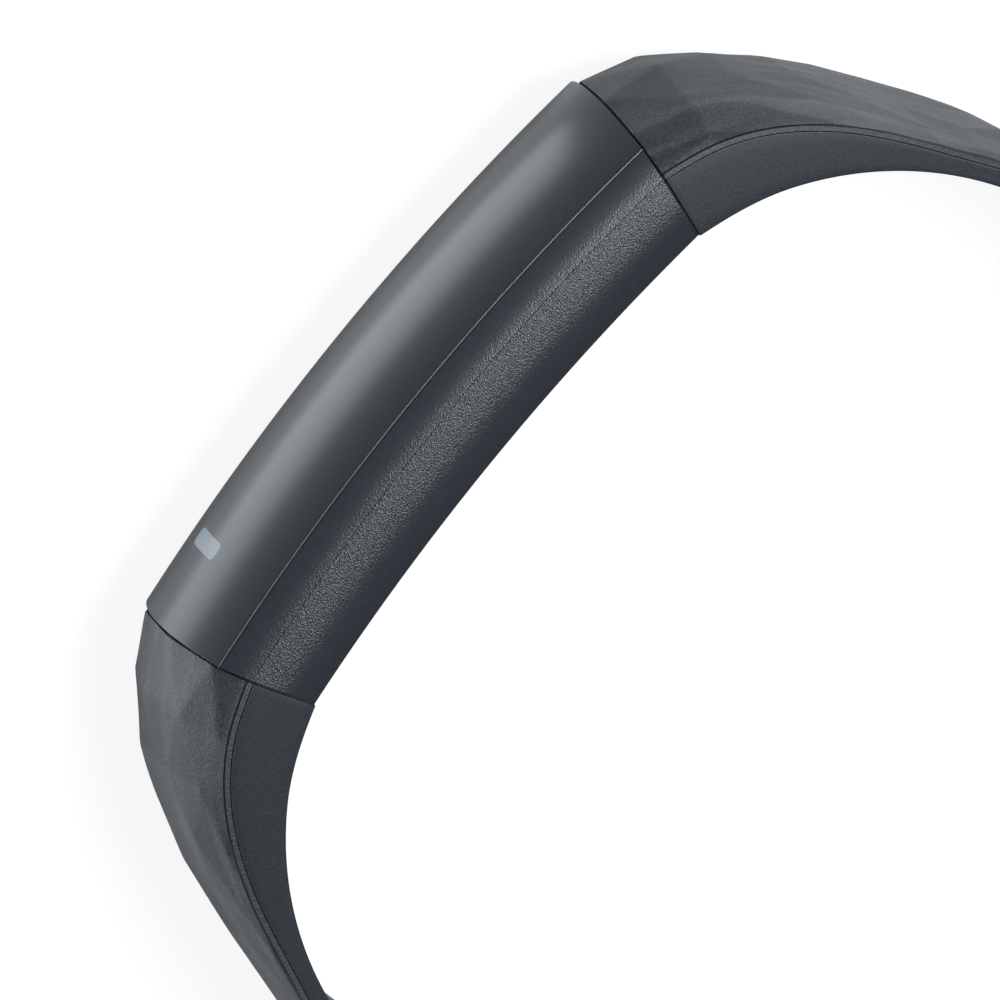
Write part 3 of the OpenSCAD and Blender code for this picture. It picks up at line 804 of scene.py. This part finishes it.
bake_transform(clasp_tail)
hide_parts("clasp_strap_link", "clasp_strap_end")


# Pod: closed profiles of depth b and half width w, swept round its lengthwise bend from seam to seam
def outline_w(b, inset=0.0):
    """The half width of the pod's side at depth b, or of a surface inset from it."""
    return POD_HALF_W - SIDE_R + np.sqrt((SIDE_R - inset) ** 2 - (SIDE_B - b) ** 2)


def seam_angle(b, inset):
    """How far round the bend the seam lies at depth b, or a plane inset from it."""
    reach = ARC_A * math.cos(SEAM) + ARC_B * math.sin(SEAM) - SEAM_GAP / 2 - inset
    return SEAM + np.arcsin((reach - BEND_R * math.sin(SEAM)) / (BEND_R - b))


def pod_point(b, w, angle):
    """The place of a pod point, by its angle round the lengthwise bend."""
    rho = BEND_R - b
    x = rho * np.sin(angle)
    y = LENS_Y + BEND_R - rho * np.cos(angle)
    return np.stack(np.broadcast_arrays(x, y, MID_Z + w), axis=-1)


def sweep(profile, ends=None, rows=POD_ROWS):
    """Points and faces of a profile from seam to seam, or between two insets from the seam of one hand."""
    b, w = np.array(profile, float).T
    if ends is None:
        share = np.linspace(-1, 1, rows)[:, None]
        angle = share * seam_angle(b, 0)
    else:
        hand, near, far = ends
        share = np.linspace(0, 1, rows)[:, None]
        angle = hand * ((1 - share) * seam_angle(b, near) + share * seam_angle(b, far))
    return pod_point(b, w, angle).reshape(-1, 3), tube_faces(rows, len(profile))


def join(sweeps):
    """The points and faces of several sweeps as one."""
    points, faces = [], []
    for some, quads in sweeps:
        first = len(points)
        points.extend(some)
        faces.extend([tuple(v + first for v in face) for face in quads])
    return points, faces


def both(side):
    """A profile's + side followed by its mirrored - side."""
    return side + [(b, -w) for b, w in reversed(side)]


def grain_mask(obj, level):
    """Sets how strong the grain is at each point, from its depth below the lens edge."""
    mask = obj.data.attributes.new("grain", "FLOAT", "POINT")
    for vertex, value in zip(obj.data.vertices, mask.data):
        x, y, _ = vertex.co / MM
        depth = BEND_R - math.hypot(x, LENS_Y + BEND_R - y)
        value.value = float(level(depth))


# Lens, an arched shell that stands a little off the housing
def lens_arc(radius, span, count, lift):
    """One face of the lens, from its - edge to its + edge."""
    middle_b = LENS_R - LENS_CROWN - lift
    angles = np.linspace(-span, span, count)
    return [(middle_b - radius * math.cos(a), radius * math.sin(a)) for a in angles]


inner_r = LENS_R - LENS_T
inner_span = math.acos((LENS_R - LENS_CROWN) / inner_r)
outer_arc = lens_arc(LENS_R, math.asin(LENS_EDGE / LENS_R), LENS_POINTS, 0)
inner_arc = lens_arc(inner_r, inner_span, LENS_INNER_POINTS, GLUE_GAP)
lens_profile = outer_arc + [(-GLUE_GAP, LENS_EDGE)] + inner_arc[::-1] + [(-GLUE_GAP, -LENS_EDGE)]
points, faces = sweep(lens_profile)
lens = mesh_object("lens_cover", points, faces, [LENS], sharp_deg=POD_SHARP_DEG)
add_bevel(lens, LENS_BEVEL, POD_BEVEL_STEPS)
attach(lens, "pod")
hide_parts("front_lens")

# Upper shell, a rail on each side with a lip beside the lens, and a bridge at each end. The lip's rise
# catches a real highlight, and its lighter colour adds a painted highlight
shelf_w = DISPLAY_HALF_W + FIT_GAP
lip_in = LENS_EDGE + LIP_GAP
lip_out = lip_in + LIP_FACE / 2
lip_top = -LIP_RISE
lip_low = lip_top + LIP_FACE
wall_end = PART_B - PART_GAP / 2
rail = [
    (0, shelf_w),
    (0, lip_in),
    (lip_top, lip_in),
    (lip_top, lip_out),
    (lip_low, lip_out + LIP_FACE / 4),
    (lip_low + LIP_GROOVE, lip_out),
]
lip_columns = (2, 3)
for b in np.linspace(lip_low + LIP_RUN, wall_end, RAIL_POINTS):
    rail.append((b, float(outline_w(b))))
for b in np.linspace(wall_end, DISPLAY_T, RAIL_INNER_POINTS):
    rail.append((b, float(outline_w(b, WALL))))
rail.append((DISPLAY_T, shelf_w))
bridge = [(0, -shelf_w), (0, shelf_w), (DISPLAY_T, shelf_w), (DISPLAY_T, -shelf_w)]
bridge_len = DISPLAY_INSET - WALL / 2
sweeps = [sweep(rail), sweep([(b, -w) for b, w in rail])]
rail_faces = len(sweeps[0][1])
sweeps += [sweep(bridge, (hand, 0, bridge_len), BRIDGE_ROWS) for hand in HANDS]
points, faces = join(sweeps)
upper = mesh_object("upper_shell", points, faces, SHELL_FINISHES, sharp_deg=POD_SHARP_DEG)
# The lip faces take the lighter finish, a painted highlight
for first in (0, rail_faces):
    for row, column in itertools.product(range(POD_ROWS - 1), lip_columns):
        upper.data.polygons[first + row * len(rail) + column].material_index = LIP_HIGHLIGHT_INDEX
grain_mask(upper, lambda b: UPPER_GRAIN * ease((b - GRAIN_START) / GRAIN_RAMP))
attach(upper, "pod")
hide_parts("upper_housing")


# Lower shell with its end walls, lugs and the seats of the window and the contacts
def shell_side(inset, top, rounding):
    """The + side of the lower shell from its top edge to the middle of the skin side."""
    floor_r = BACK_R - inset
    centre_b = POD_H - BACK_R
    depths = np.linspace(top, POD_H - inset, CORNER_SEARCH)
    gap = outline_w(depths, inset) - np.sqrt(np.maximum(0, floor_r**2 - (depths - centre_b) ** 2))
    corner_b = float(depths[np.argmax(gap > 0)])
    corner_w = float(outline_w(corner_b, inset))
    side = []
    for b in np.linspace(top, corner_b - rounding, SHELL_POINTS):
        side.append((float(b), float(outline_w(b, inset))))
    floor = []
    for w in np.linspace(corner_w - rounding, BACK_MIDDLE, SHELL_POINTS):
        floor.append((centre_b + math.sqrt(floor_r**2 - w * w), float(w)))
    start, end = np.array(side[-1]), np.array(floor[0])
    corner = np.array((corner_b, corner_w))
    bow = []
    for t in np.linspace(0, 1, SHELL_CORNER_POINTS)[1:-1]:
        spot = (1 - t) ** 2 * start + 2 * t * (1 - t) * corner + t * t * end
        bow.append((float(spot[0]), float(spot[1])))
    return side + bow + floor


top_b = PART_B + PART_GAP / 2
inner_loop = both(shell_side(WALL, top_b, BACK_ROUND))
shell_loop = both(shell_side(0, top_b, BACK_ROUND)) + inner_loop[::-1]
points, faces = sweep(shell_loop)
lower = mesh_object("lower_shell", points, faces, [HOUSING], sharp_deg=POD_SHARP_DEG)
bores = [rod((0, SKIN_Y, MID_Z), SKINWARD, WINDOW_R + RUN_GAP, POD_H, WINDOW_SIDES)]
for z in (-CONTACT_GAP / 2, CONTACT_GAP / 2):
    bores.append(rod((CONTACT_X, SKIN_Y, MID_Z + z), SKINWARD, CONTACT_R + RUN_GAP, POD_H))
cut(lower, bores, POD_SHARP_DEG)
points, faces = join([sweep(inner_loop, (hand, 0, WALL), END_WALL_ROWS) for hand in HANDS])
end_walls = mesh_object("end_walls", points, faces, [])
merge(lower, [end_walls] + [lug_block(hand, 0) for hand in HANDS])
smooth(lower.data, POD_SHARP_DEG)
grain_mask(lower, lambda b: 1 - SKIN_FADE * ease((b - SKIN_FADE_START) / SKIN_FADE_RAMP))
add_bevel(lower, SHELL_BEVEL, POD_BEVEL_STEPS)
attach(lower, "pod")
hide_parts("rear_cover")

# Touch mark, a thin rounded patch that follows the lens
mark_ring = rounded_ring(MARK_L, MARK_W, MARK_CORNER)
mark_angle = math.asin(MARK_X / BEND_R)
points = []
for share in MARK_SHARES:
    rise = MARK_RIM_RISE if share == 1 else MARK_RISE
    for x, z in mark_ring:
        b = LENS_R - LENS_CROWN - math.sqrt(LENS_R**2 - (share * z) ** 2)
        angle = mark_angle + share * x / BEND_R
        points.append(pod_point(np.array(b - rise), np.array(share * z), angle))
mark = mesh_object("touch_patch", points, tube_faces(len(MARK_SHARES), len(mark_ring)), [MARK])
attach(mark, "pod")
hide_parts("touch_mark")

# Pieces that show as they are in the frame
for part in frame["record"]["subparts"]:
    node = frame["nodes"][part["node"]]
    node.data.materials.clear()
    node.data.materials.append(SLOT_FINISHES[part["material_slot"]])
    smooth(node.data, POD_SHARP_DEG)
for name in ("clasp_plate", "sensor_window", "charging_contacts"):
    add_bevel(frame["nodes"][name], FITTING_BEVEL, FITTING_BEVEL_STEPS)


# Table: its own colour and its lift towards white, for each kind of ray that sees it
TABLE_RAYS = (
    ("Is Glossy Ray", 0.9, 0.15),
    ("Is Transmission Ray", 0.9, 0.15),
    ("Is Camera Ray", 0.2, 0.9),
)
TABLE_BOUNCE = (0.4, 0.41, 0.43)
TABLE_HALF = 1500
TABLE_Z = -0.02


def emission(nodes, color, strength):
    """A shader that only glows."""
    glow = nodes.new("ShaderNodeEmission")
    glow.inputs["Color"].default_value = (*color, 1)
    glow.inputs["Strength"].default_value = strength
    return glow


def table_material():
    """White to the camera and in reflections, with its shadow kept, and dimmer where it bounces light."""
    made = bpy.data.materials.new("white_table")
    made.use_nodes = True
    nodes, links = made.node_tree.nodes, made.node_tree.links
    nodes.clear()
    path = nodes.new("ShaderNodeLightPath")
    shade = nodes.new("ShaderNodeBsdfDiffuse")
    shade.inputs["Color"].default_value = (*TABLE_BOUNCE, 1)
    shown = shade.outputs["BSDF"]
    for ray, level, glow in TABLE_RAYS:
        white = nodes.new("ShaderNodeBsdfDiffuse")
        white.inputs["Color"].default_value = (level, level, level, 1)
        lifted = nodes.new("ShaderNodeAddShader")
        links.new(white.outputs["BSDF"], lifted.inputs[0])
        links.new(emission(nodes, (1, 1, 1), glow).outputs["Emission"], lifted.inputs[1])
        pick = nodes.new("ShaderNodeMixShader")
        links.new(path.outputs[ray], pick.inputs["Fac"])
        links.new(shown, pick.inputs[1])
        links.new(lifted.outputs["Shader"], pick.inputs[2])
        shown = pick.outputs["Shader"]
    out = nodes.new("ShaderNodeOutputMaterial")
    links.new(shown, out.inputs["Surface"])
    return made


table_signs = ((-1, -1), (1, -1), (1, 1), (-1, 1))
corners = [(x * TABLE_HALF, y * TABLE_HALF, TABLE_Z) for x, y in table_signs]
table = mesh_object("table", corners, [(0, 1, 2, 3)], [table_material()])


# Light
def placed(spot, right, upward, back):
    """The matrix of an object at a spot in millimetres, with its axes turned to those given."""
    facing = Matrix((right, upward, back)).transposed().to_4x4()
    return Matrix.Translation(Vector(spot) * MM) @ facing


LAMP_COLOR = (0.89, 0.955, 1)
WORLD_COLOR = (0.95, 0.97, 1)
WORLD_STRENGTH = 0.16


def softbox(name, place, aim, along, width, length, power):
    """A rectangular lamp that faces its aim, with its length in the direction along."""
    light = bpy.data.lights.new(name, "AREA")
    light.shape = "RECTANGLE"
    light.size = width * MM
    light.size_y = length * MM
    light.energy = power
    light.color = LAMP_COLOR
    obj = bpy.data.objects.new(name, light)
    back = (Vector(place) - Vector(aim)).normalized()
    across = Vector(along).cross(back).normalized()
    obj.matrix_world = placed(place, across, back.cross(across), back)
    obj.visible_camera = False
    bpy.context.scene.collection.objects.link(obj)


softbox(
    "overhead", place=(-195, 0, 620), aim=(-20, 0, 0), along=(1, 0, 0),
    width=150, length=280, power=3.2,
)

# Low strips on the table that face up, which the lens and the straps' outer faces reflect
STRIP_Z = 0.5
STRIP_AIM_Z = 20
STRIP_OFF = 11.5


def low_strip(name, x, y, along, width, length, power):
    """A lamp just above the table, facing up."""
    softbox(name, (x, y, STRIP_Z), (x, y, STRIP_AIM_Z), along, width, length, power)


front_y = LENS_Y - LENS_CROWN - STRIP_OFF
low_strip("front_strip", 9, front_y, along=(1, 0, 0), width=14, length=60, power=0.007)
low_strip("holed_side_strip", 47, -56, along=(12, 22, 0), width=14, length=24, power=0.0105)
low_strip("clasp_side_strip", -60, -31, along=(4, 18, 0), width=16, length=24, power=0.003)

# Large fills in front of the object, one on each side
FILL_X = 450
FILL_Y = -420
FILL_Z = 110
for hand in HANDS:
    softbox(
        f"side_fill_{hand}", place=(hand * FILL_X, FILL_Y, FILL_Z), aim=(0, -20, 10),
        along=(-FILL_Y, hand * FILL_X, 0), width=200, length=400, power=0.4,
    )

world = bpy.data.worlds.new("studio")
world.use_nodes = True
background = world.node_tree.nodes["Background"]
background.inputs["Color"].default_value = (*WORLD_COLOR, 1)
background.inputs["Strength"].default_value = WORLD_STRENGTH
bpy.context.scene.world = world
bpy.context.scene.view_settings.view_transform = "Standard"

# Camera fitted to the photograph
AIM = Vector((2.015, LENS_Y + 10.914, MID_Z + 4.662))
AZIMUTH = math.radians(-5.69)
ELEVATION = math.radians(67.14)
ROLL = math.radians(134.57)
CAMERA_FAR = 793.28
CAMERA_LENS = 432.11
SENSOR_W = 36
back = Vector((
    math.sin(AZIMUTH) * math.cos(ELEVATION),
    -math.cos(AZIMUTH) * math.cos(ELEVATION),
    math.sin(ELEVATION),
))
sideways = Vector((math.cos(AZIMUTH), math.sin(AZIMUTH), 0))
right = Matrix.Rotation(ROLL, 3, back) @ sideways
camera = bpy.data.objects.new("camera", bpy.data.cameras.new("camera"))
camera.data.lens = CAMERA_LENS
camera.data.sensor_width = SENSOR_W
camera.matrix_world = placed(AIM + back * CAMERA_FAR, right, back.cross(right), back)
bpy.context.scene.collection.objects.link(camera)
bpy.context.scene.camera = camera
